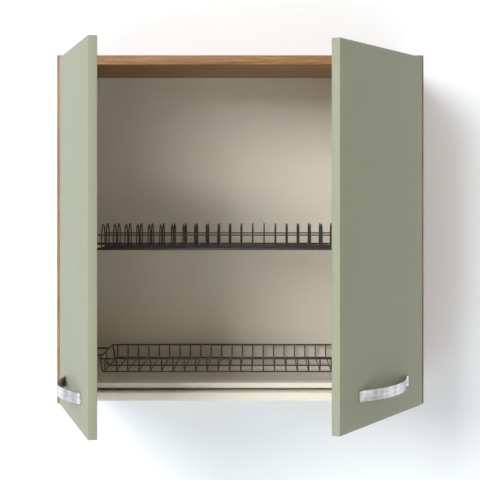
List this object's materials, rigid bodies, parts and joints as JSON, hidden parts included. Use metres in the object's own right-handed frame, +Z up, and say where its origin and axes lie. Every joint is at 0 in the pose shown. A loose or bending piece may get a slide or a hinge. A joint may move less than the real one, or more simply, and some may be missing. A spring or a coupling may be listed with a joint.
{
  "type": "dish drying cabinet",
  "caption": "Wall-hung kitchen cabinet with swing doors, and inside it a wire plate rack, a wire cup basket and a drip tray for drying dishes.",
  "frame": {"origin": "centre of the back face, which lies on the wall", "axes": "+Z up, the doors face -Y, +X is to the right when facing the doors, +Y points into the wall"},
  "size_m": [0.8, 0.7088, 0.76],
  "materials": {
    "wood_veneer": "satin veneer with straight grain",
    "sage_paint": "smooth matt sage green paint on board",
    "cream_board": "cream melamine board",
    "cream_plastic": "moulded cream plastic",
    "graphite_wire": "graphite coated steel wire",
    "brushed_steel": "brushed steel strap",
    "hinge_steel": "nickel plated pressed steel",
    "clear_rubber": "soft translucent rubber"
  },
  "bodies": {
    "carcass": {"left_side_panel": "wood_veneer", "right_side_panel": "wood_veneer", "top_panel": "wood_veneer", "bottom_panel": "cream_board", "back_panel": "cream_board", "left_hanger_housing": "cream_plastic", "right_hanger_housing": "cream_plastic", "left_hanger_hook": "hinge_steel", "right_hanger_hook": "hinge_steel", "left_tray_runner": "cream_plastic", "right_tray_runner": "cream_plastic", "left_front_rack_clip": "cream_plastic", "right_front_rack_clip": "cream_plastic", "left_back_rack_clip": "cream_plastic", "right_back_rack_clip": "cream_plastic", "left_basket_cradle": "cream_plastic", "right_basket_cradle": "cream_plastic", "left_upper_hinge_arm": "hinge_steel", "left_lower_hinge_arm": "hinge_steel", "right_upper_hinge_arm": "hinge_steel", "right_lower_hinge_arm": "hinge_steel", "left_upper_mounting_plate": "hinge_steel", "left_lower_mounting_plate": "hinge_steel", "right_upper_mounting_plate": "hinge_steel", "right_lower_mounting_plate": "hinge_steel"},
    "left_hinge_links": {"left_upper_hinge_link": "hinge_steel", "left_lower_hinge_link": "hinge_steel"},
    "left_door": {"left_door": "sage_paint", "left_handle": "brushed_steel", "left_inner_handle_screw": "brushed_steel", "left_outer_handle_screw": "brushed_steel", "left_upper_bumper": "clear_rubber", "left_lower_bumper": "clear_rubber", "left_upper_hinge_cup": "hinge_steel", "left_lower_hinge_cup": "hinge_steel"},
    "right_hinge_links": {"right_upper_hinge_link": "hinge_steel", "right_lower_hinge_link": "hinge_steel"},
    "right_door": {"right_door": "sage_paint", "right_handle": "brushed_steel", "right_inner_handle_screw": "brushed_steel", "right_outer_handle_screw": "brushed_steel", "right_upper_bumper": "clear_rubber", "right_lower_bumper": "clear_rubber", "right_upper_hinge_cup": "hinge_steel", "right_lower_hinge_cup": "hinge_steel"},
    "plate_rack": {"plate_rack": "graphite_wire"},
    "cup_basket": {"cup_basket": "graphite_wire"},
    "drip_tray": {"drip_tray": "cream_plastic"}
  },
  "joints": [
    {"name": "left_hinge_link_turn", "type": "hinge", "parent": "carcass", "child": "left_hinge_links", "pos_m": [-0.368, -0.317, 0], "axis": [0, 0, 1], "range_deg": [-32.87, 14.42]},
    {"name": "left_door_swing", "type": "hinge", "parent": "left_hinge_links", "child": "left_door", "pos_m": [-0.378, -0.33655, 0], "axis": [0, 0, -1], "range_deg": [-105.85, 46.4]},
    {"name": "right_hinge_link_turn", "type": "hinge", "parent": "carcass", "child": "right_hinge_links", "pos_m": [0.368, -0.317, 0], "axis": [0, 0, -1], "range_deg": [-26.8, 20.5]},
    {"name": "right_door_swing", "type": "hinge", "parent": "right_hinge_links", "child": "right_door", "pos_m": [0.38001, -0.33538, 0], "axis": [0, 0, 1], "range_deg": [-86.28, 65.97]},
    {"name": "drip_tray_slide", "type": "slide", "parent": "carcass", "child": "drip_tray", "axis": [0, -1, 0], "range_m": [0, 0.02]},
    {"name": "plate_rack_lift", "type": "slide", "parent": "carcass", "child": "plate_rack", "axis": [0, 0, 1], "range_m": [0, 0.03]},
    {"name": "cup_basket_lift", "type": "slide", "parent": "carcass", "child": "cup_basket", "axis": [0, 0, 1], "range_m": [0, 0.03]}
  ],
  "couplings": [
    {"joint": "left_hinge_link_turn", "follows": "left_door_swing", "ratio": 0.31034},
    {"joint": "right_hinge_link_turn", "follows": "right_door_swing", "ratio": 0.31034}
  ]
}
